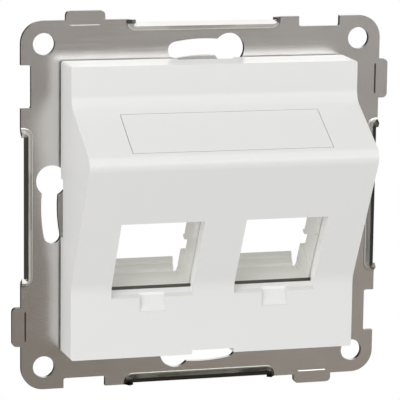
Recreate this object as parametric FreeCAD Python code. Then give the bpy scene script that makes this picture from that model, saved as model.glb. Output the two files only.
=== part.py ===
import FreeCAD, Part
import math
import os

os.makedirs("parts", exist_ok=True)

# Frame: X to the right, Z up, Y into the wall.
# The origin is the centre of the support ring's rear face, which lies against the wall box.

# Support ring, mm
SLOT_CIRCLE_R = 30.0        # box screws stand on a 60 mm circle; the ring is laid out from it
RING_EDGE = 5.5             # from that circle out to the square outline, 71 mm wide
RING_SHEET = 1.0            # thickness of the steel sheet
RING_CORNER_R = 4.3         # outline radius at the four corners
SCREW_INSET = 4.4           # corner screw holes inside the outline
SCREW_HOLE_R = 2.1
SLOT_HALF_WIDTH = 1.6
SLOT_END_DEG = 10.5
SLOT_HEAD_R = 3.0           # round end that lets a screw head through
SLOT_HEAD_DEG = 9.7
SLOT_BRIDGE = 3.0           # sheet left between a slot and the central opening
WINDOW_CORNER_R = 3.0       # corners of the central opening
TAB_CENTRE = 23.1           # joining tab and its matching notch, from the ring's centre line
TAB_WIDTH = 7.6
TAB_REACH = 1.75
TAB_CORNER_R = 0.9
NOTCH_WIDTH = 8.2
NOTCH_DEPTH = 1.95
NOTCH_CORNER_R = 0.4
SCORE_LENGTH = 5.8          # break-off score across the root of a tab
SCORE_WIDTH = 0.35
SCORE_DEPTH = 0.3
SCORE_INSET = 0.8
RIM_HALF_LENGTH = 15.1      # stiffening rim, from the middle of a side to where its bend runs out
RIM_ANGLE = 55.0            # rim turned forward out of the sheet, degrees
RIM_RISE = 1.08             # front of the lip ahead of the sheet's front face
RIM_EDGE = 0.43             # outermost corner of the lip inside the ring's outline
RIM_BEND_R = 0.5            # inside radius of the bend
RIM_ROOT = 0.3              # flat sheet beside the bend

# Cover, mm
COVER_LIFT = 0.95           # rear edge of the skirt ahead of the ring's front face
COVER_DEPTH = 8.25          # skirt from its rear edge to the flat front
COVER_CORNER_R = 0.5
COVER_DRAFT = 1.0           # degrees on each side wall
COVER_WALL = 2.2            # the skirt's rear edge comes out 56 mm square
COVER_INNER_R = 0.3         # inner corners of the skirt
SKIRT_CUT_LENGTH = 11.3     # clearance over each screw slot
SKIRT_CUT_DEPTH = 1.7
PRY_WIDTH = 8.3             # notch for a screwdriver in the bottom edge
PRY_HEIGHT = 0.95
HOOD_TOP = 20.55            # where the upper slope leaves the flat front
HOOD_BOTTOM = -14.2         # where the port face leaves the flat front
HOOD_TILT = 29.5            # port face against the wall, degrees
HOOD_TOP_R = 3.2
HOOD_RIDGE_R = 2.2
HOOD_RIDGE_INNER_R = 0.5
HOOD_BOTTOM_R = 4.5
PORT_CENTRE = 12.05         # port centre line from the middle
PORT_WIDTH = 16.0
PORT_FLOOR = -1.83          # measured up the port face from its lower crease
PORT_TOP = 15.65
RECESS_WIDTH = 5.0          # finger recess below each port
RECESS_HEAD = 1.2           # its upper end below the crease
RECESS_LENGTH = 3.65
RECESS_HEAD_DEPTH = 1.35
RECESS_FOOT_DEPTH = 0.15
RECESS_FOOT_R = 0.3
LEG_X = 14.0                # cover legs that snap behind the ring
LEG_WIDTH = 7.0
LEG_THICK = 1.3
LEG_GAP = 0.15              # leg against the edge of the ring's opening
LEG_LENGTH = 2.8
LEG_HOOK = 0.6
LEG_LEDGE = 0.4             # edge of the ring's opening inside the skirt's wall
LEG_SHOULDER = 0.3          # root of the leg ahead of the ring
REST_WIDTH = 2.6            # rests that stand the cover off the ring
REST_HEIGHT = 5.0

# Label plate, mm
LABEL_WIDTH = 38.5          # pocket for the label plate, along X
LABEL_FROM = 2.75           # pocket, measured down the upper slope from its crease
LABEL_TO = 14.45
LABEL_DEPTH = 1.0
LABEL_GAP = 0.13            # clearance all round the label plate
LABEL_LEG_X = 14.0          # legs of the label plate
LABEL_LEG_WIDTH = 4.0
LABEL_LEG_THICK = 1.2
LABEL_LEG_LENGTH = 1.9
LABEL_SLOT_GAP = 0.15       # slot past each side of a leg
LABEL_SLOT_PLAY = 0.35      # slot past each face of a leg

# Keystone carrier, mm, measured from the port face's lower crease: into the port and up the face
CRADLE_FRONT = 3.0
CRADLE_BACK = 8.0
CRADLE_WALL = 1.3
CRADLE_FLOOR = -2.35        # module space
CRADLE_TOP = 14.2
GUIDE_STEP = 0.6            # side guides narrow the space to the module's width
GUIDE_ROOT = 0.6            # guide let into the cradle's side wall
GUIDE_UPPER_NOSE = 8.7      # foremost point of an upper guide, up the face
GUIDE_UPPER_CROWN = 1.6     # its front edge leans back this far up to the ceiling
GUIDE_UPPER_BACK = 8.5
GUIDE_UPPER_FROM = 5.2      # its rear edge ends in a hook below this height
HOOK_TIP = 4.45             # underside of the hook
HOOK_BACK = 9.4
HOOK_NOSE = 0.4
HOOK_NOSE_RISE = 0.2
GUIDE_LOWER_STEP = 0.65
GUIDE_LOWER_START = 4.6     # lead-in face of a lower guide, into the port
GUIDE_LOWER_FULL = 8.3
GUIDE_LOWER_BACK = 9.0
GUIDE_LOWER_BROW = (5.1, 0.1)       # its top edge climbs from this point, into the port and up
GUIDE_LOWER_BROW_R = 0.8
GUIDE_LOWER_TO = 1.6
TONGUE_BACK = 11.1
TONGUE_SLIT = 1.3           # slit between the tongue's rear end and each side wall
TONGUE_ROOT = 6.55          # front end of the slits
TONGUE_TAPER = 0.8          # each edge of the tongue inside its rear end, at the root
SLIT_END_R = 0.2
SLIT_WAIST = 0.75           # first stretch of a slit, which widens by as much
CATCH_FRONT = 4.9           # the floor slopes down from here to the first step
CATCH_STEPS = ((6.95, 7.3), (9.3, 9.65))    # foot and crest of two steps for the module's catch
CATCH_DEPTH = 0.3
CATCH_RISE = 0.1
SHELF_BACK = 11.0           # shelf for the module's latch
CHEEK_THICK = 1.6           # side walls from the cradles back to the ring
CHEEK_GAP = 0.15            # cheek against the edge of the ring's opening
CHEEK_TOP_RUN = 2.0         # cheek past the foot's upper and lower ends
CHEEK_BOTTOM_RUN = 1.0
CHEEK_FRONT_R = 0.8
CHEEK_BACK_R = 2.0
FOOT_THICK = 1.6
FOOT_REACH = 2.3            # foot past the edge of the ring's opening
FOOT_GAP = 0.2              # foot against the inside of the cover's skirt
FOOT_TOP = 8.0
FOOT_BOTTOM = -15.0
CLIP_WIDTH = 5.0
CLIP_HOOK = 0.7
CLIP_LENGTH = 2.6           # clip behind the ring's rear face
CLIP_Z = (4.0, -12.3)

# Shared by the snap legs and clips, mm
SNAP_CATCH = 0.9            # straight length of a hook behind the ring
SNAP_TIP = 0.5              # tip of a leg inside its outer face
SNAP_TIP_R = 0.3
SNAP_NOSE_R = 0.2
MOULD_R = 0.3               # free edges of small moulded features
SHARP_R = 0.1
JOIN = 0.5                  # a rib or leg runs this far into the wall that carries it
TOOL_RUN = 1.0              # a cut runs this far past the face it starts from

# Derived
RING_HALF = SLOT_CIRCLE_R + RING_EDGE
RING_FRONT = -RING_SHEET
SCREW_HALF_PITCH = RING_HALF - SCREW_INSET
WINDOW_HALF_Z = SLOT_CIRCLE_R - SLOT_HALF_WIDTH - SLOT_BRIDGE
SKIRT_INSIDE = WINDOW_HALF_Z + LEG_LEDGE
COVER_HALF = SKIRT_INSIDE + COVER_WALL
WINDOW_HALF_X = SKIRT_INSIDE - FOOT_REACH - FOOT_GAP
SKIRT_Y = RING_FRONT - COVER_LIFT
FLAT_Y = SKIRT_Y - COVER_DEPTH
RIM_TURN = math.radians(RIM_ANGLE)
RIM_FOOT = RIM_EDGE + RING_SHEET * math.sin(RIM_TURN) + RIM_RISE / math.tan(RIM_TURN)
RIM_STRIP = RIM_FOOT + RIM_BEND_R * math.tan(RIM_TURN / 2) + RIM_ROOT
RIM_SWEEP = RIM_FOOT - RIM_EDGE
RIM_STRAIGHT = RIM_HALF_LENGTH - RIM_SWEEP
RIM_AXIS = RING_HALF - RIM_EDGE
TILT = math.radians(HOOD_TILT)
HOOD_BASE = HOOD_TOP - HOOD_BOTTOM
FACE_LENGTH = HOOD_BASE * math.cos(TILT)
SLOPE_LENGTH = HOOD_BASE * math.sin(TILT)
RIDGE_Y = FLAT_Y - FACE_LENGTH * math.sin(TILT)
RIDGE_Z = HOOD_BOTTOM + FACE_LENGTH * math.cos(TILT)
PORT_RUN = 2 * COVER_WALL + TOOL_RUN
CRADLE_LOW = CRADLE_FLOOR - CRADLE_WALL
CRADLE_HIGH = CRADLE_TOP + CRADLE_WALL
CRADLE_HALF = PORT_CENTRE + PORT_WIDTH / 2 + CRADLE_WALL
CHEEK_EDGE = WINDOW_HALF_X - CHEEK_GAP


def box(x0, x1, y0, y1, z0, z1):
    """Box between two corners."""
    corner = FreeCAD.Vector(x0, y0, z0)
    return Part.makeBox(x1 - x0, y1 - y0, z1 - z0, corner)


def tilted(shape):
    """From the port face's own axes to the part's: Y runs into the port, Z up the face."""
    moved = shape.copy()
    moved.rotate(FreeCAD.Vector(0, 0, 0), FreeCAD.Vector(1, 0, 0), HOOD_TILT)
    moved.translate(FreeCAD.Vector(0, FLAT_Y, HOOD_BOTTOM))
    return moved


def quarter(shape, turns):
    """The same feature on the next side of the square, clockwise seen from the front."""
    moved = shape.copy()
    moved.rotate(FreeCAD.Vector(0, 0, 0), FreeCAD.Vector(0, 1, 0), 90 * turns)
    return moved


def rounded_wire(points, radii, place):
    """Closed outline with a true arc at each vertex that has a radius."""
    count = len(points)
    starts = []
    ends = []
    middles = []
    for i in range(count):
        here = points[i]
        before = points[i - 1]
        after = points[(i + 1) % count]
        r = radii[i]
        if r <= 0:
            starts.append(here)
            ends.append(here)
            middles.append(None)
            continue
        ax, ay = before[0] - here[0], before[1] - here[1]
        bx, by = after[0] - here[0], after[1] - here[1]
        la, lb = math.hypot(ax, ay), math.hypot(bx, by)
        ax, ay, bx, by = ax / la, ay / la, bx / lb, by / lb
        half = math.acos(max(-1.0, min(1.0, ax * bx + ay * by))) / 2
        run = r / math.tan(half)
        mx, my = ax + bx, ay + by
        lm = math.hypot(mx, my)
        reach = r / math.sin(half) - r
        starts.append((here[0] + ax * run, here[1] + ay * run))
        ends.append((here[0] + bx * run, here[1] + by * run))
        middles.append((here[0] + mx / lm * reach, here[1] + my / lm * reach))
    edges = []
    for i in range(count):
        if middles[i] is not None:
            arc = Part.Arc(place(*starts[i]), place(*middles[i]), place(*ends[i]))
            edges.append(arc.toShape())
        a = place(*ends[i])
        b = place(*starts[(i + 1) % count])
        if a.distanceToPoint(b) > 1e-6:
            edges.append(Part.makeLine(a, b))
    return Part.Wire(edges)


def side_face(points, radii, x):
    """Outline in the YZ plane at a given X."""
    return Part.Face(rounded_wire(points, radii, lambda y, z: FreeCAD.Vector(x, y, z)))


def side_prism(points, radii, x0, x1):
    """Outline in the YZ plane, run along X."""
    return side_face(points, radii, x0).extrude(FreeCAD.Vector(x1 - x0, 0, 0))


def front_prism(points, radii, y0, y1):
    """Outline in the XZ plane, run along Y."""
    wire = rounded_wire(points, radii, lambda x, z: FreeCAD.Vector(x, y0, z))
    return Part.Face(wire).extrude(FreeCAD.Vector(0, y1 - y0, 0))


def plan_prism(points, radii, z0, z1):
    """Outline in the XY plane, run along Z."""
    wire = rounded_wire(points, radii, lambda x, y: FreeCAD.Vector(x, y, z0))
    return Part.Face(wire).extrude(FreeCAD.Vector(0, 0, z1 - z0))


def rectangle(half_x, half_z):
    return [(-half_x, -half_z), (half_x, -half_z), (half_x, half_z), (-half_x, half_z)]


def pin(x, z, r, y0, y1):
    """Cylinder along Y."""
    return Part.makeCylinder(r, y1 - y0, FreeCAD.Vector(x, y0, z), FreeCAD.Vector(0, 1, 0))


def through_ring(points, radii):
    """Outline cut through the sheet from front to rear."""
    return front_prism(points, radii, RING_FRONT - TOOL_RUN, TOOL_RUN)


def ring_pin(x, z, r):
    """Round hole through the sheet."""
    return pin(x, z, r, RING_FRONT - TOOL_RUN, TOOL_RUN)


# Support ring

def rim_section():
    """Section of the rim on the top side: sheet, bend and lip turned forward."""
    lip_front = RING_FRONT - RIM_RISE
    lip_rear = lip_front + RING_SHEET * math.cos(RIM_TURN)
    inner = RIM_EDGE + RING_SHEET * math.sin(RIM_TURN)
    rear_foot = RIM_EDGE - lip_rear / math.tan(RIM_TURN)
    points = [
        (0, RING_HALF - RIM_STRIP),
        (0, RING_HALF - rear_foot),
        (lip_rear, RING_HALF - RIM_EDGE),
        (lip_front, RING_HALF - inner),
        (RING_FRONT, RING_HALF - RIM_FOOT),
        (RING_FRONT, RING_HALF - RIM_STRIP),
    ]
    return points, [0, RIM_BEND_R + RING_SHEET, 0, 0, RIM_BEND_R, 0]


def rim():
    """Straight rim whose ends sweep round and run out to the ring's outline."""
    points, radii = rim_section()
    parts = []
    for side in (-1, 1):
        centre = FreeCAD.Vector(side * RIM_STRAIGHT, 0, RIM_AXIS)
        section = side_face(points, radii, side * RIM_STRAIGHT)
        parts.append(section.revolve(centre, FreeCAD.Vector(0, -side, 0), 90))
        end = section.copy()
        end.rotate(centre, FreeCAD.Vector(0, -side, 0), 90)
        parts.append(end.extrude(FreeCAD.Vector(0, 0, RIM_EDGE)))
    return side_prism(points, radii, -RIM_STRAIGHT, RIM_STRAIGHT).fuse(parts)


def rim_room():
    """Part of the flat sheet that the rim is bent from."""
    reach = RIM_STRIP - RIM_EDGE
    y0 = RING_FRONT - TOOL_RUN
    room = box(-RIM_STRAIGHT, RIM_STRAIGHT, y0, TOOL_RUN, RING_HALF - RIM_STRIP, RING_HALF + TOOL_RUN)
    ends = []
    for side in (-1, 1):
        x0, x1 = sorted((side * RIM_STRAIGHT, side * (RIM_STRAIGHT + reach)))
        ends.append(ring_pin(side * RIM_STRAIGHT, RIM_AXIS, reach))
        ends.append(box(x0, x1, y0, TOOL_RUN, RIM_AXIS, RING_HALF + TOOL_RUN))
    return room.fuse(ends)


def tab():
    """Joining tab past the edge."""
    half = TAB_WIDTH / 2
    x = -TAB_CENTRE
    low = RING_HALF - JOIN
    high = RING_HALF + TAB_REACH
    points = [(x - half, low), (x + half, low), (x + half, high), (x - half, high)]
    return front_prism(points, [0, 0, TAB_CORNER_R, TAB_CORNER_R], RING_FRONT, 0)


def notch():
    """Notch that takes the neighbour's tab."""
    half = NOTCH_WIDTH / 2
    x = TAB_CENTRE
    low = RING_HALF - NOTCH_DEPTH
    high = RING_HALF + TOOL_RUN
    points = [(x - half, low), (x + half, low), (x + half, high), (x - half, high)]
    return through_ring(points, [NOTCH_CORNER_R, NOTCH_CORNER_R, 0, 0])


def score():
    """Score across the root of a tab."""
    x = -TAB_CENTRE
    z = RING_HALF - SCORE_INSET
    half = SCORE_LENGTH / 2
    wide = SCORE_WIDTH / 2
    return box(x - half, x + half, RING_FRONT - TOOL_RUN, RING_FRONT + SCORE_DEPTH, z - wide, z + wide)


def on_circle(deg, radius, y):
    """Point on a circle about the ring's centre, clockwise from the top."""
    angle = math.radians(deg)
    return FreeCAD.Vector(radius * math.sin(angle), y, radius * math.cos(angle))


def screw_slot():
    """Curved slot with a round head at its clockwise end."""
    y0 = RING_FRONT - TOOL_RUN
    y1 = TOOL_RUN
    outer = SLOT_CIRCLE_R + SLOT_HALF_WIDTH
    inner = SLOT_CIRCLE_R - SLOT_HALF_WIDTH
    first = -SLOT_END_DEG
    last = SLOT_HEAD_DEG
    middle = (first + last) / 2
    upper = Part.Arc(on_circle(first, outer, y0), on_circle(middle, outer, y0), on_circle(last, outer, y0))
    lower = Part.Arc(on_circle(last, inner, y0), on_circle(middle, inner, y0), on_circle(first, inner, y0))
    start = Part.makeLine(on_circle(first, inner, y0), on_circle(first, outer, y0))
    end = Part.makeLine(on_circle(last, outer, y0), on_circle(last, inner, y0))
    wire = Part.Wire([upper.toShape(), end, lower.toShape(), start])
    band = Part.Face(wire).extrude(FreeCAD.Vector(0, y1 - y0, 0))
    tail = on_circle(first, SLOT_CIRCLE_R, y0)
    head = on_circle(last, SLOT_CIRCLE_R, y0)
    ends = [ring_pin(tail.x, tail.z, SLOT_HALF_WIDTH), ring_pin(head.x, head.z, SLOT_HEAD_R)]
    return band.fuse(ends)


def support_ring():
    """Stamped sheet ring with four like sides."""
    plate = front_prism(rectangle(RING_HALF, RING_HALF), [RING_CORNER_R] * 4, RING_FRONT, 0)
    added = []
    removed = [through_ring(rectangle(WINDOW_HALF_X, WINDOW_HALF_Z), [WINDOW_CORNER_R] * 4)]
    for turn in range(4):
        removed.append(quarter(rim_room(), turn))
        removed.append(quarter(notch(), turn))
        added.append(quarter(rim(), turn))
        added.append(quarter(tab(), turn))
    for x in (-SCREW_HALF_PITCH, SCREW_HALF_PITCH):
        for z in (-SCREW_HALF_PITCH, SCREW_HALF_PITCH):
            removed.append(ring_pin(x, z, SCREW_HOLE_R))
    ring = plate.cut(removed).fuse(added)
    holes = []
    for turn in range(4):
        holes.append(quarter(screw_slot(), turn))
        holes.append(quarter(score(), turn))
    return ring.cut(holes).removeSplitter()


# Cover

def hood_points(inset, back):
    """Side profile of the cover, moved inwards by the wall thickness."""
    top_run = inset * (1 - math.sin(TILT)) / math.cos(TILT)
    low_run = inset * (1 - math.cos(TILT)) / math.sin(TILT)
    ridge_y = RIDGE_Y + inset * (math.sin(TILT) + math.cos(TILT))
    ridge_z = RIDGE_Z + inset * (math.sin(TILT) - math.cos(TILT))
    far = COVER_HALF + TOOL_RUN
    flat = FLAT_Y + inset
    return [
        (back, far),
        (flat, far),
        (flat, HOOD_TOP - top_run),
        (ridge_y, ridge_z),
        (flat, HOOD_BOTTOM + low_run),
        (flat, -far),
        (back, -far),
    ]


def drafted_block(half, y_from, y_to, radius):
    """Square block that narrows towards the front by the draft angle."""
    wires = []
    for y in (y_from, y_to):
        narrow = (SKIRT_Y - y) * math.tan(math.radians(COVER_DRAFT))
        size = half - narrow
        place = lambda x, z, y=y: FreeCAD.Vector(x, y, z)
        wires.append(rounded_wire(rectangle(size, size), [radius] * 4, place))
    return Part.makeLoft(wires, True, True)


def cover_shell():
    """Moulded shell: skirt, flat front and inclined hood, open at the rear."""
    front = RIDGE_Y - TOOL_RUN
    back = SKIRT_Y + TOOL_RUN
    far = COVER_HALF + TOOL_RUN
    radii = [0, 0, HOOD_TOP_R, HOOD_RIDGE_R, HOOD_BOTTOM_R, 0, 0]
    outer = side_prism(hood_points(0, SKIRT_Y), radii, -far, far)
    outer = outer.common(drafted_block(COVER_HALF, SKIRT_Y, front, COVER_CORNER_R))
    radii = [0, 0, HOOD_TOP_R + COVER_WALL, HOOD_RIDGE_INNER_R, HOOD_BOTTOM_R + COVER_WALL, 0, 0]
    inner = side_prism(hood_points(COVER_WALL, back), radii, -far, far)
    inner = inner.common(drafted_block(SKIRT_INSIDE, back, front, COVER_INNER_R))
    return outer.cut(inner)


def port_cut(side):
    """Port opening, square to the inclined face."""
    x = side * PORT_CENTRE
    half = PORT_WIDTH / 2
    return tilted(box(x - half, x + half, -PORT_RUN, PORT_RUN, PORT_FLOOR, PORT_TOP))


def finger_recess(side):
    """Ramp below a port that deepens towards the port."""
    x = side * PORT_CENTRE
    half = RECESS_WIDTH / 2
    head = HOOD_BOTTOM - RECESS_HEAD
    foot = head - RECESS_LENGTH
    points = [
        (FLAT_Y - TOOL_RUN, foot),
        (FLAT_Y + RECESS_FOOT_DEPTH, foot),
        (FLAT_Y + RECESS_HEAD_DEPTH, head),
        (FLAT_Y - TOOL_RUN, head),
    ]
    return side_prism(points, [0, RECESS_FOOT_R, 0, 0], x - half, x + half)


def label_pocket():
    """Flush pocket in the upper slope, with two slots for the plate's legs."""
    half = LABEL_WIDTH / 2
    y0 = SLOPE_LENGTH - LABEL_TO
    y1 = SLOPE_LENGTH - LABEL_FROM
    floor = FACE_LENGTH - LABEL_DEPTH
    cut = box(-half, half, y0, y1, floor, FACE_LENGTH + TOOL_RUN)
    middle = (y0 + y1) / 2
    hx = LABEL_LEG_WIDTH / 2 + LABEL_SLOT_GAP
    hy = LABEL_LEG_THICK / 2 + LABEL_SLOT_PLAY
    under = FACE_LENGTH - COVER_WALL - TOOL_RUN
    for x in (-LABEL_LEG_X, LABEL_LEG_X):
        cut = cut.fuse(box(x - hx, x + hx, middle - hy, middle + hy, under, FACE_LENGTH))
    return tilted(cut)


def cover_leg(x, side):
    """Leg that passes the ring's opening and hooks behind its edge."""
    outer = WINDOW_HALF_Z - LEG_GAP
    inner = outer - LEG_THICK
    root = SKIRT_INSIDE + JOIN
    front = FLAT_Y + COVER_WALL - JOIN
    points = [
        (front, inner),
        (LEG_LENGTH, inner),
        (LEG_LENGTH, outer - SNAP_TIP),
        (SNAP_CATCH, outer + LEG_HOOK),
        (0, outer + LEG_HOOK),
        (0, outer),
        (RING_FRONT - LEG_SHOULDER, outer),
        (RING_FRONT - LEG_SHOULDER, root),
        (front, root),
    ]
    radii = [0, SNAP_TIP_R, SNAP_TIP_R, SNAP_NOSE_R, 0, 0, 0, 0, 0]
    leg = side_prism(points, radii, x - LEG_WIDTH / 2, x + LEG_WIDTH / 2)
    if side < 0:
        leg = leg.mirror(FreeCAD.Vector(0, 0, 0), FreeCAD.Vector(0, 0, 1))
    return leg


def corner_rest(sx, sz):
    """Post in a corner of the skirt that stands on the ring's front face."""
    far = SKIRT_INSIDE + JOIN
    x0, x1 = sorted((sx * (far - REST_WIDTH), sx * far))
    z0, z1 = sorted((sz * (far - REST_HEIGHT), sz * far))
    return box(x0, x1, FLAT_Y + COVER_WALL - JOIN, RING_FRONT, z0, z1)


def skirt_cut():
    """Clearance in the skirt's rear edge over a screw slot, on the top side."""
    half = SKIRT_CUT_LENGTH / 2
    y0 = SKIRT_Y - SKIRT_CUT_DEPTH
    return box(-half, half, y0, SKIRT_Y + TOOL_RUN, SKIRT_INSIDE - JOIN, COVER_HALF + TOOL_RUN)


def pry_notch():
    """Notch along the skirt's bottom wall, open to the front and the rear."""
    half = PRY_WIDTH / 2
    low = -COVER_HALF - TOOL_RUN
    return box(-half, half, FLAT_Y - TOOL_RUN, SKIRT_Y + TOOL_RUN, low, -COVER_HALF + PRY_HEIGHT)


def cover():
    added = []
    for side in (-1, 1):
        for x in (-LEG_X, LEG_X):
            added.append(cover_leg(x, side))
        for sx in (-1, 1):
            added.append(corner_rest(sx, side))
    removed = [label_pocket(), pry_notch()]
    for side in (-1, 1):
        removed.append(port_cut(side))
        removed.append(finger_recess(side))
    for turn in range(4):
        removed.append(quarter(skirt_cut(), turn))
    return cover_shell().fuse(added).cut(removed).removeSplitter()


# Label plate

def label_plate():
    half = LABEL_WIDTH / 2 - LABEL_GAP
    y0 = SLOPE_LENGTH - LABEL_TO + LABEL_GAP
    y1 = SLOPE_LENGTH - LABEL_FROM - LABEL_GAP
    base = FACE_LENGTH - LABEL_DEPTH
    plate = box(-half, half, y0, y1, base, FACE_LENGTH)
    middle = (y0 + y1) / 2
    thick = LABEL_LEG_THICK / 2
    wide = LABEL_LEG_WIDTH / 2
    for x in (-LABEL_LEG_X, LABEL_LEG_X):
        leg = box(x - wide, x + wide, middle - thick, middle + thick, base - LABEL_LEG_LENGTH, base)
        plate = plate.fuse(leg)
    return tilted(plate).removeSplitter()


# Keystone carrier

def module_space(x):
    """Module space of one port, open to the front and the rear."""
    half = PORT_WIDTH / 2
    return box(x - half, x + half, CRADLE_FRONT - TOOL_RUN, CRADLE_BACK + TOOL_RUN, CRADLE_FLOOR, CRADLE_TOP)


def upper_guide(x, side):
    """Side guide beside the module's latch: pointed in front, with a small hook behind."""
    wall = x + side * PORT_WIDTH / 2
    x0, x1 = sorted((wall - side * GUIDE_STEP, wall + side * GUIDE_ROOT))
    top = CRADLE_TOP + JOIN
    points = [
        (CRADLE_FRONT, GUIDE_UPPER_NOSE),
        (CRADLE_BACK, HOOK_TIP),
        (HOOK_BACK - HOOK_NOSE, HOOK_TIP),
        (HOOK_BACK, HOOK_TIP + HOOK_NOSE_RISE),
        (GUIDE_UPPER_BACK, GUIDE_UPPER_FROM),
        (GUIDE_UPPER_BACK, top),
        (CRADLE_FRONT + GUIDE_UPPER_CROWN, top),
    ]
    return side_prism(points, [MOULD_R, MOULD_R, 0, SHARP_R, 0, 0, 0], x0, x1)


def lower_guide(x, side):
    """Blade beside the tongue with a long lead-in face; its top edge climbs to the rear."""
    wall = x + side * PORT_WIDTH / 2
    face = wall - side * GUIDE_LOWER_STEP
    root = wall + side * GUIDE_ROOT
    low = CRADLE_FLOOR - JOIN
    plan = [
        (wall, GUIDE_LOWER_START),
        (face, GUIDE_LOWER_FULL),
        (face, GUIDE_LOWER_BACK),
        (root, GUIDE_LOWER_BACK),
        (root, GUIDE_LOWER_START),
    ]
    profile = [
        (GUIDE_LOWER_START, low),
        (GUIDE_LOWER_BACK, low),
        (GUIDE_LOWER_BACK, GUIDE_LOWER_TO),
        GUIDE_LOWER_BROW,
        (GUIDE_LOWER_START, CRADLE_FLOOR),
    ]
    x0, x1 = sorted((face, root))
    blade = side_prism(profile, [0, 0, MOULD_R, GUIDE_LOWER_BROW_R, 0], x0, x1)
    return blade.common(plan_prism(plan, [0, 0, 0, 0, 0], low, GUIDE_LOWER_TO))


def tongue_room(x):
    """Part of the cradle's floor that the tongue takes the place of."""
    half = PORT_WIDTH / 2 - TONGUE_SLIT
    back = CRADLE_BACK + TOOL_RUN
    return box(x - half, x + half, CATCH_FRONT, back, CRADLE_LOW - TOOL_RUN, CRADLE_FLOOR + TOOL_RUN)


def tongue(x):
    """Flexible floor of a port, with two steps for the module's fixed catch."""
    half = PORT_WIDTH / 2 - TONGUE_SLIT
    top = CRADLE_FLOOR + CATCH_RISE
    low = CRADLE_FLOOR - CATCH_DEPTH
    points = [(CATCH_FRONT, CRADLE_LOW), (TONGUE_BACK, CRADLE_LOW), (TONGUE_BACK, top)]
    for foot, crest in reversed(CATCH_STEPS):
        points.append((crest, top))
        points.append((foot, low))
    points.append((CATCH_FRONT, CRADLE_FLOOR))
    radii = [0, MOULD_R, MOULD_R, 0, 0, 0, 0, 0]
    return side_prism(points, radii, x - half, x + half)


def latch_shelf(x):
    """Ceiling of a port, carried back as a short shelf for the module's latch."""
    half = PORT_WIDTH / 2 - GUIDE_STEP
    points = [
        (CRADLE_BACK - JOIN, CRADLE_TOP),
        (SHELF_BACK, CRADLE_TOP),
        (SHELF_BACK, CRADLE_HIGH),
        (CRADLE_BACK - JOIN, CRADLE_HIGH),
    ]
    return side_prism(points, [0, MOULD_R, MOULD_R, 0], x - half, x + half)


def tongue_slits(x):
    """Slits that free the tongue, narrowing towards its root."""
    low = CRADLE_LOW - TOOL_RUN
    high = CRADLE_FLOOR + CATCH_RISE
    edge = PORT_WIDTH / 2 - TONGUE_SLIT
    root = edge - TONGUE_TAPER
    far = TONGUE_BACK + TOOL_RUN
    tools = []
    for side in (-1, 1):
        points = [
            (x + side * root, TONGUE_ROOT),
            (x + side * (root + SLIT_WAIST), TONGUE_ROOT + SLIT_WAIST),
            (x + side * (PORT_WIDTH / 2 - GUIDE_LOWER_STEP), GUIDE_LOWER_BACK),
            (x + side * (PORT_WIDTH / 2 - GUIDE_LOWER_STEP), far),
            (x + side * edge, far),
            (x + side * edge, TONGUE_BACK),
        ]
        tools.append(plan_prism(points, [SLIT_END_R, SLIT_END_R, 0, 0, 0, 0], low, high))
    return tools


def cradle_block():
    """Both module cradles in one moulding, along the port face's own axes."""
    block = box(-CRADLE_HALF, CRADLE_HALF, CRADLE_FRONT, CRADLE_BACK, CRADLE_LOW, CRADLE_HIGH)
    inner = PORT_CENTRE - PORT_WIDTH / 2 - CRADLE_WALL
    front = CRADLE_FRONT + CRADLE_WALL
    back = CRADLE_BACK + TOOL_RUN
    between = box(-inner, inner, front, back, CRADLE_LOW - TOOL_RUN, CRADLE_HIGH + TOOL_RUN)
    spaces = [between]
    added = []
    slits = []
    for port in (-1, 1):
        x = port * PORT_CENTRE
        spaces.append(module_space(x))
        spaces.append(tongue_room(x))
        for side in (-1, 1):
            added.append(upper_guide(x, side))
            added.append(lower_guide(x, side))
        added.append(tongue(x))
        added.append(latch_shelf(x))
        slits.extend(tongue_slits(x))
    return block.cut(spaces).fuse(added).cut(slits)


def cradle_corner(into, up):
    """Point of the side profile from the port face's own axes."""
    y = FLAT_Y + into * math.cos(TILT) - up * math.sin(TILT)
    z = HOOD_BOTTOM + into * math.sin(TILT) + up * math.cos(TILT)
    return (y, z)


def cheek(side):
    """Side wall from the cradles back to the ring, with its foot and two clips."""
    inside = CHEEK_EDGE - CHEEK_THICK
    x0, x1 = sorted((side * inside, side * CHEEK_EDGE))
    foot_y = RING_FRONT - FOOT_THICK
    points = [
        cradle_corner(CRADLE_FRONT, CRADLE_LOW),
        cradle_corner(CRADLE_FRONT, CRADLE_HIGH),
        cradle_corner(CRADLE_BACK, CRADLE_HIGH),
        (foot_y, FOOT_TOP + CHEEK_TOP_RUN),
        (RING_FRONT, FOOT_TOP),
        (RING_FRONT, FOOT_BOTTOM),
        (foot_y, FOOT_BOTTOM - CHEEK_BOTTOM_RUN),
    ]
    radii = [CHEEK_FRONT_R, CHEEK_FRONT_R, CHEEK_BACK_R, 0, 0, 0, 0]
    wall = side_prism(points, radii, x0, x1)
    f0, f1 = sorted((side * inside, side * (WINDOW_HALF_X + FOOT_REACH)))
    parts = [box(f0, f1, foot_y, RING_FRONT, FOOT_BOTTOM, FOOT_TOP)]
    b0, b1 = sorted((side * (CRADLE_HALF - JOIN), side * (inside + JOIN)))
    parts.append(tilted(box(b0, b1, CRADLE_FRONT, CRADLE_BACK, CRADLE_LOW, CRADLE_HIGH)))
    for z in CLIP_Z:
        parts.append(clip(side, z))
    return wall.fuse(parts)


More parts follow.
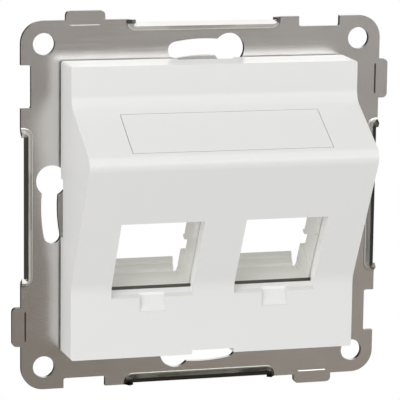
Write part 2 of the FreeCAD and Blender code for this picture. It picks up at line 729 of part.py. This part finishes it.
def clip(side, z):
    """Snap clip through the ring's opening that grips its rear face."""
    points = [
        (side * (CHEEK_EDGE - CHEEK_THICK), RING_FRONT - JOIN),
        (side * (CHEEK_EDGE - CHEEK_THICK), CLIP_LENGTH),
        (side * (CHEEK_EDGE - SNAP_TIP), CLIP_LENGTH),
        (side * (CHEEK_EDGE + CLIP_HOOK), SNAP_CATCH),
        (side * (CHEEK_EDGE + CLIP_HOOK), 0),
        (side * CHEEK_EDGE, 0),
        (side * CHEEK_EDGE, RING_FRONT - JOIN),
    ]
    radii = [0, SNAP_TIP_R, SNAP_TIP_R, SNAP_NOSE_R, 0, 0, 0]
    return plan_prism(points, radii, z - CLIP_WIDTH / 2, z + CLIP_WIDTH / 2)


def keystone_carrier():
    return tilted(cradle_block()).fuse([cheek(-1), cheek(1)]).removeSplitter()


for name, shape in (
    ("support_ring", support_ring()),
    ("cover", cover()),
    ("label_plate", label_plate()),
    ("keystone_carrier", keystone_carrier()),
):
    count = len(shape.Solids)
    print(name, count, "solid(s)", round(shape.Volume, 1), "mm3", "valid", shape.isValid())
    result = shape.Solids[0] if count == 1 else shape
    result.exportStep("parts/" + name + ".step")
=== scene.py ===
import bpy
import math
from mathutils import Matrix, Vector

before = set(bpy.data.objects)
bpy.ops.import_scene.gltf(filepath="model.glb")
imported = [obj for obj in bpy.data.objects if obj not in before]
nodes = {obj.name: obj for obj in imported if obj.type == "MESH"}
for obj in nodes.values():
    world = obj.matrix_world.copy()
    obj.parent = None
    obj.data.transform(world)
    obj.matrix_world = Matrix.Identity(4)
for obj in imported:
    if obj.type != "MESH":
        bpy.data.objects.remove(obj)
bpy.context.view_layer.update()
bpy.ops.object.select_all(action="DESELECT")


# Directions and places on the part, in metres

ACROSS = (1.0, 0.0, 0.0)
INWARD = (0.0, 1.0, 0.0)
UPWARD = (0.0, 0.0, 1.0)
PORT_TILT = math.radians(29.5)
PORT_UP = (0.0, -math.sin(PORT_TILT), math.cos(PORT_TILT))      # up the port face
PORT_INTO = (0.0, math.cos(PORT_TILT), math.sin(PORT_TILT))     # into the ports

CREASE = Vector((0.0, -0.0102, -0.0142))                    # lower crease of the port face
GAP_TOP = CREASE.dot(Vector(PORT_UP)) - 0.00236             # just below the cradles' floor
GAP_BACK = CREASE.dot(Vector(PORT_INTO)) + 0.0031           # just behind their front ends
MOUTH_FRONT = CREASE.dot(Vector(PORT_INTO)) + 0.00008       # just behind the port face
MOUTH_BACK = CREASE.dot(Vector(PORT_INTO)) + 0.0040         # behind the cover's wall
MOUTH_SIDE = 0.0215             # outside both ports, inside the cover's side walls
MOUTH_TOP = 0.0015              # above both ports

SIDE_EDGE = 0.0340              # from here out lie the ring's left and right edges and scores
BELOW_FACE = -0.00097           # just under the sheet's front face
ABOVE_BACK = -0.00003           # just ahead of its rear face
RIM_BEND = -0.001006            # just ahead of its front face
BEND_FRONT = -0.00125           # part of the way round the bend of a rim
SIDE_RIM = 0.0330               # outside here lie the left and right rims
LOWER_RIM = -0.0330             # below here lies the lower rim
LOWER_LIP_OUT = (0.0, -0.819, -0.574)       # square to the cut lip of the lower rim
RIGHT_LIP_OUT = (0.574, -0.819, 0.0)        # square to the cut lip of the right rim
LIP_FACE = 0.02120              # just inside either lip, along those two directions


# Light

SURROUND = 0.765                # strength of the white surround
FLOOR_SHADE = 0.82
FLOOR_SIZE = 4.0
FLOOR_HEIGHT = -0.32
PANEL = (0.3, -0.94, 0.16)      # towards the bright panel that the cover's top wall mirrors
DARK_STRIP = -0.27              # how far across, behind, lies the strip that the left edges mirror
LAMP_AIM = Vector((0.0, -0.01, 0.0))
LAMPS = (
    # name, place, size, power
    ("softbox_left", (-1.0, -0.75, 0.25), 0.8, 3.2),
    ("softbox_high", (-0.7, -0.7, 0.8), 0.8, 3.4),
)


# Nodes

def add(tree, kind, **settings):
    """New node with its settings; settings for sockets go by the socket's name."""
    node = tree.nodes.new(kind)
    for key, value in settings.items():
        if hasattr(node, key):
            setattr(node, key, value)
        else:
            node.inputs[key].default_value = value
    return node


def feed(tree, socket, value):
    """Link a socket to another one, or set it to a plain number, direction or colour."""
    if isinstance(value, bpy.types.NodeSocket):
        tree.links.new(value, socket)
    else:
        socket.default_value = value


def calc(tree, operation, *values):
    """Sum, product or the like of sockets and numbers."""
    node = add(tree, "ShaderNodeMath", operation=operation)
    for socket, value in zip(node.inputs, values):
        feed(tree, socket, value)
    return node.outputs[0]


def tint(tree, factor, first, second):
    """Colour between two by a factor."""
    node = add(tree, "ShaderNodeMix", data_type="RGBA")
    feed(tree, node.inputs["Factor"], factor)
    feed(tree, node.inputs[6], first)
    feed(tree, node.inputs[7], second)
    return node.outputs[2]


def reach(tree, place, direction):
    """How far a place lies along a direction."""
    node = add(tree, "ShaderNodeVectorMath", operation="DOT_PRODUCT")
    feed(tree, node.inputs[0], place)
    feed(tree, node.inputs[1], direction)
    return node.outputs["Value"]


def gradient(tree, source, low, high, dark, bright):
    """Smooth change from dark at the low value of the source to bright at the high one."""
    ramp = add(tree, "ShaderNodeMapRange", interpolation_type="SMOOTHSTEP")
    ramp.inputs["From Min"].default_value = low
    ramp.inputs["From Max"].default_value = high
    ramp.inputs["To Min"].default_value = dark
    ramp.inputs["To Max"].default_value = bright
    tree.links.new(source, ramp.inputs["Value"])
    return ramp.outputs["Result"]


# Shared effects

def new_group(name, inputs, outputs):
    """Empty shader node group with its sockets."""
    group = bpy.data.node_groups.new(name, "ShaderNodeTree")
    for label, kind, value in inputs:
        socket = group.interface.new_socket(name=label, in_out="INPUT", socket_type=kind)
        socket.default_value = value
    for label, kind in outputs:
        group.interface.new_socket(name=label, in_out="OUTPUT", socket_type=kind)
    return group, group.nodes.new("NodeGroupInput"), group.nodes.new("NodeGroupOutput")


SKIN_OUTPUTS = (
    ("Colour", "NodeSocketColor"),
    ("Roughness", "NodeSocketFloat"),
    ("Height", "NodeSocketFloat"),
)


def moulded_surface():
    """Fine eroded grain and slight flow clouding of a moulded plastic skin."""
    group, start, end = new_group(
        "moulded_surface",
        (
            ("Colour", "NodeSocketColor", (0.8, 0.8, 0.8, 1)),
            ("Cloud", "NodeSocketFloat", 0.02),
            ("Grain size", "NodeSocketFloat", 4000.0),
            ("Roughness", "NodeSocketFloat", 0.35),
        ),
        SKIN_OUTPUTS,
    )
    links = group.links
    noise_middle = 0.5
    rough_per_cloud = 3.0
    place = add(group, "ShaderNodeTexCoord")
    cloud = add(group, "ShaderNodeTexNoise", Scale=60.0, Detail=3.0, Roughness=0.5)
    grain = add(group, "ShaderNodeTexNoise", Detail=2.0, Roughness=0.6)
    links.new(place.outputs["Object"], cloud.inputs["Vector"])
    links.new(place.outputs["Object"], grain.inputs["Vector"])
    links.new(start.outputs["Grain size"], grain.inputs["Scale"])
    centred = calc(group, "SUBTRACT", cloud.outputs["Fac"], noise_middle)
    swing = calc(group, "MULTIPLY", centred, start.outputs["Cloud"])
    shade = add(group, "ShaderNodeVectorMath", operation="SCALE")
    links.new(start.outputs["Colour"], shade.inputs[0])
    links.new(calc(group, "ADD", swing, 1.0), shade.inputs["Scale"])
    spread = calc(group, "MULTIPLY", swing, rough_per_cloud)
    links.new(shade.outputs[0], end.inputs["Colour"])
    links.new(calc(group, "ADD", spread, start.outputs["Roughness"]), end.inputs["Roughness"])
    links.new(grain.outputs["Fac"], end.inputs["Height"])
    return group


def rolled_sheet():
    """Rolling streaks and faint brown and green tarnish of bright sheet steel."""
    group, start, end = new_group(
        "rolled_sheet",
        (
            ("Colour", "NodeSocketColor", (0.5, 0.48, 0.45, 1)),
            ("Tarnish", "NodeSocketColor", (0.45, 0.40, 0.35, 1)),
            ("Roughness", "NodeSocketFloat", 0.28),
        ),
        SKIN_OUTPUTS,
    )
    links = group.links
    streak_fineness = (60.0, 900.0, 2600.0)
    streak_swing = 0.045
    place = add(group, "ShaderNodeTexCoord")
    squeeze = add(group, "ShaderNodeMapping", Scale=streak_fineness)
    streak = add(group, "ShaderNodeTexNoise", Scale=1.0, Detail=3.0, Roughness=0.6)
    patch = add(group, "ShaderNodeTexNoise", Scale=170.0, Detail=3.0, Roughness=0.55)
    links.new(place.outputs["Object"], squeeze.inputs["Vector"])
    links.new(squeeze.outputs["Vector"], streak.inputs["Vector"])
    links.new(place.outputs["Object"], patch.inputs["Vector"])
    spread = add(group, "ShaderNodeMapRange")
    spread.inputs["From Min"].default_value = 0.35
    spread.inputs["From Max"].default_value = 0.65
    links.new(patch.outputs["Fac"], spread.inputs["Value"])
    swing = add(group, "ShaderNodeMapRange")
    swing.inputs["To Min"].default_value = -streak_swing
    swing.inputs["To Max"].default_value = streak_swing
    links.new(streak.outputs["Fac"], swing.inputs["Value"])
    colour = tint(group, spread.outputs["Result"], start.outputs["Colour"], start.outputs["Tarnish"])
    rough = calc(group, "ADD", swing.outputs["Result"], start.outputs["Roughness"])
    links.new(colour, end.inputs["Colour"])
    links.new(rough, end.inputs["Roughness"])
    links.new(streak.outputs["Fac"], end.inputs["Height"])
    return group


def beyond_plane():
    """Mask of the places further along a direction than a limit."""
    group, start, end = new_group(
        "beyond_plane",
        (
            ("Direction", "NodeSocketVector", UPWARD),
            ("Limit", "NodeSocketFloat", 0.0),
        ),
        (("Mask", "NodeSocketFloat"),),
    )
    place = add(group, "ShaderNodeTexCoord")
    along = reach(group, place.outputs["Object"], start.outputs["Direction"])
    group.links.new(calc(group, "GREATER_THAN", along, start.outputs["Limit"]), end.inputs["Mask"])
    return group


# Materials

def finish_material(name, group, values, bump_strength, bump_distance, metallic):
    """Material whose colour, roughness and relief come from a shared effect."""
    material = bpy.data.materials.new(name)
    material.use_nodes = True
    tree = material.node_tree
    shader = tree.nodes["Principled BSDF"]
    skin = tree.nodes.new("ShaderNodeGroup")
    skin.node_tree = group
    for key, value in values.items():
        skin.inputs[key].default_value = value
    relief = add(tree, "ShaderNodeBump", Strength=bump_strength, Distance=bump_distance)
    tree.links.new(skin.outputs["Colour"], shader.inputs["Base Color"])
    tree.links.new(skin.outputs["Roughness"], shader.inputs["Roughness"])
    tree.links.new(skin.outputs["Height"], relief.inputs["Height"])
    tree.links.new(relief.outputs["Normal"], shader.inputs["Normal"])
    shader.inputs["Metallic"].default_value = metallic
    shader.inputs["Specular IOR Level"].default_value = 0.5
    return material


MOULDED = moulded_surface()
ROLLED = rolled_sheet()
BEYOND_PLANE = beyond_plane()
COVER_PLASTIC = finish_material(
    "cover_plastic", MOULDED,
    {"Colour": (0.81, 0.81, 0.795, 1), "Cloud": 0.02, "Grain size": 5200.0, "Roughness": 0.34},
    bump_strength=0.12, bump_distance=0.00002, metallic=0.0,
)
LABEL_PLASTIC = finish_material(
    "label_plastic", MOULDED,
    {"Colour": (0.81, 0.81, 0.795, 1), "Cloud": 0.015, "Grain size": 7000.0, "Roughness": 0.30},
    bump_strength=0.08, bump_distance=0.00002, metallic=0.0,
)
CARRIER_PLASTIC = finish_material(
    "carrier_plastic", MOULDED,
    {"Colour": (0.83, 0.83, 0.785, 1), "Cloud": 0.05, "Grain size": 3600.0, "Roughness": 0.42},
    bump_strength=0.15, bump_distance=0.00003, metallic=0.0,
)
RING_STEEL = finish_material(
    "ring_steel", ROLLED,
    {"Colour": (0.83, 0.82, 0.80, 1), "Tarnish": (0.80, 0.785, 0.76, 1), "Roughness": 0.215},
    bump_strength=0.05, bump_distance=0.00002, metallic=1.0,
)


# Tones by place: painted shade and painted light, where a piece is coloured darker or paler than its
# plain skin

def beyond(direction, limit):
    """Test for the places further along a direction than a limit."""
    return ((direction, limit),)


def short_of(direction, limit):
    """Test for the places less far along a direction than a limit."""
    opposite = tuple(-value for value in direction)
    return beyond(opposite, -limit)


def within(direction, limit):
    """Test for the places nearer than a limit to the middle plane, on either side."""
    return beyond(direction, -limit) + short_of(direction, limit)


def tone(material, places, colour):
    """Mix a colour in where all the tests of place hold."""
    tree = material.node_tree
    base = tree.nodes["Principled BSDF"].inputs["Base Color"]
    skin = base.links[0].from_socket
    mask = 1.0
    for direction, limit in places:
        side = tree.nodes.new("ShaderNodeGroup")
        side.node_tree = BEYOND_PLANE
        side.inputs["Direction"].default_value = direction
        side.inputs["Limit"].default_value = limit
        mask = calc(tree, "MULTIPLY", mask, side.outputs["Mask"])
    tree.links.new(tint(tree, mask, skin, colour), base)


# Sheared edges and coined scores lie below the sheet's rolled face.
CUT_DEPTH = beyond(INWARD, BELOW_FACE) + short_of(INWARD, ABOVE_BACK)
BENT_FORWARD = short_of(INWARD, RIM_BEND)
# Dark grey of painted shade on the ring's left and right cut edges and scores.
PAINTED_SHADE_EDGE = (0.30, 0.29, 0.28, 1)

TONES = (
    # Painted shade: the cradles' lower front ends, deep in the gap behind each port's sill, are coloured
    # nearly black.
    (CARRIER_PLASTIC, short_of(PORT_UP, GAP_TOP) + short_of(PORT_INTO, GAP_BACK), (0.12, 0.12, 0.10, 1)),
    # Painted shade: the ring's left and right cut edges and scores, which face away from the light, are
    # coloured dark grey.
    (RING_STEEL, short_of(ACROSS, -SIDE_EDGE) + CUT_DEPTH, PAINTED_SHADE_EDGE),
    (RING_STEEL, beyond(ACROSS, SIDE_EDGE) + CUT_DEPTH, PAINTED_SHADE_EDGE),
    # Painted shade: the lower rim, which faces down, is coloured darker from the start of its bend, and
    # its sheared lip nearly black.
    (RING_STEEL, BENT_FORWARD + short_of(UPWARD, LOWER_RIM), (0.33, 0.34, 0.30, 1)),
    (RING_STEEL, BENT_FORWARD + beyond(LOWER_LIP_OUT, LIP_FACE), (0.06, 0.06, 0.055, 1)),
    # Painted shade: the start of the left rim's bend is coloured darker, to damp its bright reflection.
    (
        RING_STEEL,
        BENT_FORWARD + beyond(INWARD, BEND_FRONT) + short_of(ACROSS, -SIDE_RIM),
        (0.50, 0.50, 0.48, 1),
    ),
    # Painted shade: the right rim's sheared lip, facing away from the light, is coloured dark.
    (RING_STEEL, BENT_FORWARD + beyond(RIGHT_LIP_OUT, LIP_FACE), (0.25, 0.25, 0.24, 1)),
    # Painted light: the walls of the port mouths are coloured paler than the cover, so that they look
    # lit from the sides as pale as the face.
    (
        COVER_PLASTIC,
        beyond(PORT_INTO, MOUTH_FRONT) + short_of(PORT_INTO, MOUTH_BACK)
        + within(ACROSS, MOUTH_SIDE) + short_of(UPWARD, MOUTH_TOP),
        (0.91, 0.91, 0.895, 1),
    ),
)
for material, places, colour in TONES:
    tone(material, places, colour)

for name, material in (
    ("cover", COVER_PLASTIC),
    ("label_plate", LABEL_PLASTIC),
    ("keystone_carrier", CARRIER_PLASTIC),
    ("support_ring", RING_STEEL),
):
    for slot in nodes[name].material_slots:
        slot.material = material


# Room, light and camera

def by_ray(tree, ray, common, special):
    """One shader for a kind of ray and another for every other."""
    path = tree.nodes.new("ShaderNodeLightPath")
    mix = tree.nodes.new("ShaderNodeMixShader")
    tree.links.new(path.outputs[ray], mix.inputs["Fac"])
    tree.links.new(common, mix.inputs[1])
    tree.links.new(special, mix.inputs[2])
    return mix.outputs[0]


def pale_room_material():
    """Pale floor that the camera sees as plain white; metal sees the room past it."""
    material = bpy.data.materials.new("pale_floor")
    material.use_nodes = True
    tree = material.node_tree
    tree.nodes.clear()
    out = tree.nodes.new("ShaderNodeOutputMaterial")
    diffuse = add(tree, "ShaderNodeBsdfDiffuse", Color=(FLOOR_SHADE, FLOOR_SHADE, FLOOR_SHADE, 1))
    clear = tree.nodes.new("ShaderNodeBsdfTransparent")
    white = add(tree, "ShaderNodeEmission", Color=(1, 1, 1, 1), Strength=1.0)
    lit = by_ray(tree, "Is Glossy Ray", diffuse.outputs[0], clear.outputs[0])
    seen = by_ray(tree, "Is Camera Ray", lit, white.outputs[0])
    tree.links.new(seen, out.inputs["Surface"])
    return material


def pale_floor():
    bpy.ops.mesh.primitive_plane_add(size=FLOOR_SIZE, location=(0, 0, FLOOR_HEIGHT))
    floor = bpy.context.object
    floor.name = "floor"
    bpy.ops.object.transform_apply(location=True, rotation=True, scale=True)
    floor.data.materials.append(pale_room_material())


def mirrored_lights(tree, direction, along, into, up):
    """The bright things that the part mirrors: ceiling, panel in front, light behind."""
    ceiling = calc(
        tree, "MULTIPLY",
        gradient(tree, up, low=0.15, high=0.75, dark=0.0, bright=1.2),
        gradient(tree, into, low=-0.35, high=0.1, dark=1.0, bright=0.06),
    )
    panel = calc(
        tree, "MULTIPLY",
        gradient(tree, reach(tree, direction, PANEL), low=0.92, high=0.97, dark=0.0, bright=3.0),
        gradient(tree, up, low=0.0, high=0.12, dark=0.0, bright=1.0),
    )
    raised_right = calc(
        tree, "MULTIPLY",
        gradient(tree, up, low=0.0, high=0.15, dark=0.0, bright=1.0),
        gradient(tree, along, low=-0.1, high=0.15, dark=0.0, bright=1.0),
    )
    rear = calc(
        tree, "MULTIPLY",
        gradient(tree, into, low=0.3, high=0.7, dark=0.0, bright=0.9),
        raised_right,
    )
    return calc(tree, "MAXIMUM", calc(tree, "MAXIMUM", ceiling, rear), panel)


def mirrored_room(tree, along, into, up):
    """The dim room that the ring mirrors, lightest in front, at the lower right and behind."""
    front = calc(
        tree, "MULTIPLY",
        gradient(tree, into, low=-0.99, high=-0.6, dark=0.325, bright=0.10),
        gradient(tree, into, low=-0.1, high=0.5, dark=1.0, bright=0.2),
    )
    sides = calc(
        tree, "MULTIPLY",
        gradient(tree, up, low=-0.9, high=0.0, dark=0.55, bright=1.0),
        gradient(tree, along, low=0.0, high=0.5, dark=0.6, bright=1.15),
    )
    lower_right = calc(tree, "SUBTRACT", along, up)
    sides = calc(
        tree, "MULTIPLY",
        sides,
        gradient(tree, lower_right, low=0.45, high=0.55, dark=0.94, bright=1.27),
    )
    from_strip = calc(tree, "ABSOLUTE", calc(tree, "ADD", along, -DARK_STRIP))
    behind = calc(
        tree, "MULTIPLY",
        gradient(tree, into, low=0.5, high=0.85, dark=0.0, bright=0.36),
        gradient(tree, from_strip, low=0.12, high=0.32, dark=0.0, bright=1.0),
    )
    below = gradient(tree, up, low=-0.8, high=-0.4, dark=0.38, bright=0.0)
    return calc(
        tree, "MAXIMUM",
        calc(tree, "MULTIPLY", front, sides),
        calc(tree, "MAXIMUM", behind, below),
    )


def mirrored_colour(tree, lights, along, up):
    """White lights; the room is brown below and at the left, and greyer above and at the right."""
    grey = calc(
        tree, "MULTIPLY",
        gradient(tree, up, low=-0.26, high=-0.15, dark=0.0, bright=1.0),
        gradient(tree, along, low=0.17, high=0.30, dark=0.5, bright=1.0),
    )
    room = tint(tree, grey, (1.0, 0.87, 0.745, 1), (1.0, 0.95, 0.91, 1))
    return tint(tree, lights, room, (1, 1, 1, 1))


def world_light():
    """Even white surround for soft light, and a room of lights and greys for what mirrors."""
    world = bpy.data.worlds.new("studio")
    bpy.context.scene.world = world
    world.use_nodes = True
    tree = world.node_tree
    tree.nodes.clear()
    out = tree.nodes.new("ShaderNodeOutputWorld")
    direction = tree.nodes.new("ShaderNodeTexCoord").outputs["Generated"]
    split = tree.nodes.new("ShaderNodeSeparateXYZ")
    tree.links.new(direction, split.inputs[0])
    along, into, up = split.outputs
    lights = mirrored_lights(tree, direction, along, into, up)
    room = mirrored_room(tree, along, into, up)
    gloss = tree.nodes.new("ShaderNodeBackground")
    tree.links.new(calc(tree, "MAXIMUM", lights, room), gloss.inputs["Strength"])
    tree.links.new(mirrored_colour(tree, lights, along, up), gloss.inputs["Color"])
    soft = add(tree, "ShaderNodeBackground", Color=(1, 1, 1, 1), Strength=SURROUND)
    white = add(tree, "ShaderNodeBackground", Color=(1, 1, 1, 1), Strength=1.0)
    lit = by_ray(tree, "Is Glossy Ray", soft.outputs[0], gloss.outputs[0])
    seen = by_ray(tree, "Is Camera Ray", lit, white.outputs[0])
    tree.links.new(seen, out.inputs["Surface"])


def soft_lamp(name, place, size, power):
    """Square softbox that points at the plate; metal does not mirror it."""
    data = bpy.data.lights.new(name, "AREA")
    data.shape = "SQUARE"
    data.size = size
    data.energy = power
    lamp = bpy.data.objects.new(name, data)
    bpy.context.scene.collection.objects.link(lamp)
    lamp.location = place
    aim = LAMP_AIM - Vector(place)
    lamp.rotation_euler = aim.to_track_quat("-Z", "Y").to_euler()
    lamp.visible_glossy = False


def photo_camera():
    """Camera fitted to the ring's outline and holes in the photograph."""
    data = bpy.data.cameras.new("camera")
    camera = bpy.data.objects.new("camera", data)
    bpy.context.scene.collection.objects.link(camera)
    data.sensor_width = 36.0
    data.lens = 219.5756
    data.clip_start = 0.05
    data.clip_end = 20.0
    right = Vector((0.96324278, -0.26835419, 0.0122218))
    up = Vector((0.03693251, 0.1773572, 0.98345331))
    back = Vector((-0.26608145, -0.94685292, 0.18074904))
    place = Matrix((right, up, back)).transposed().to_4x4()
    place.translation = Vector((-0.12552196, -0.44632314, 0.08531572))
    camera.matrix_world = place
    bpy.context.scene.camera = camera


pale_floor()
world_light()
for name, place, size, power in LAMPS:
    soft_lamp(name, place, size, power)
photo_camera()
bpy.context.scene.view_settings.view_transform = "Standard"
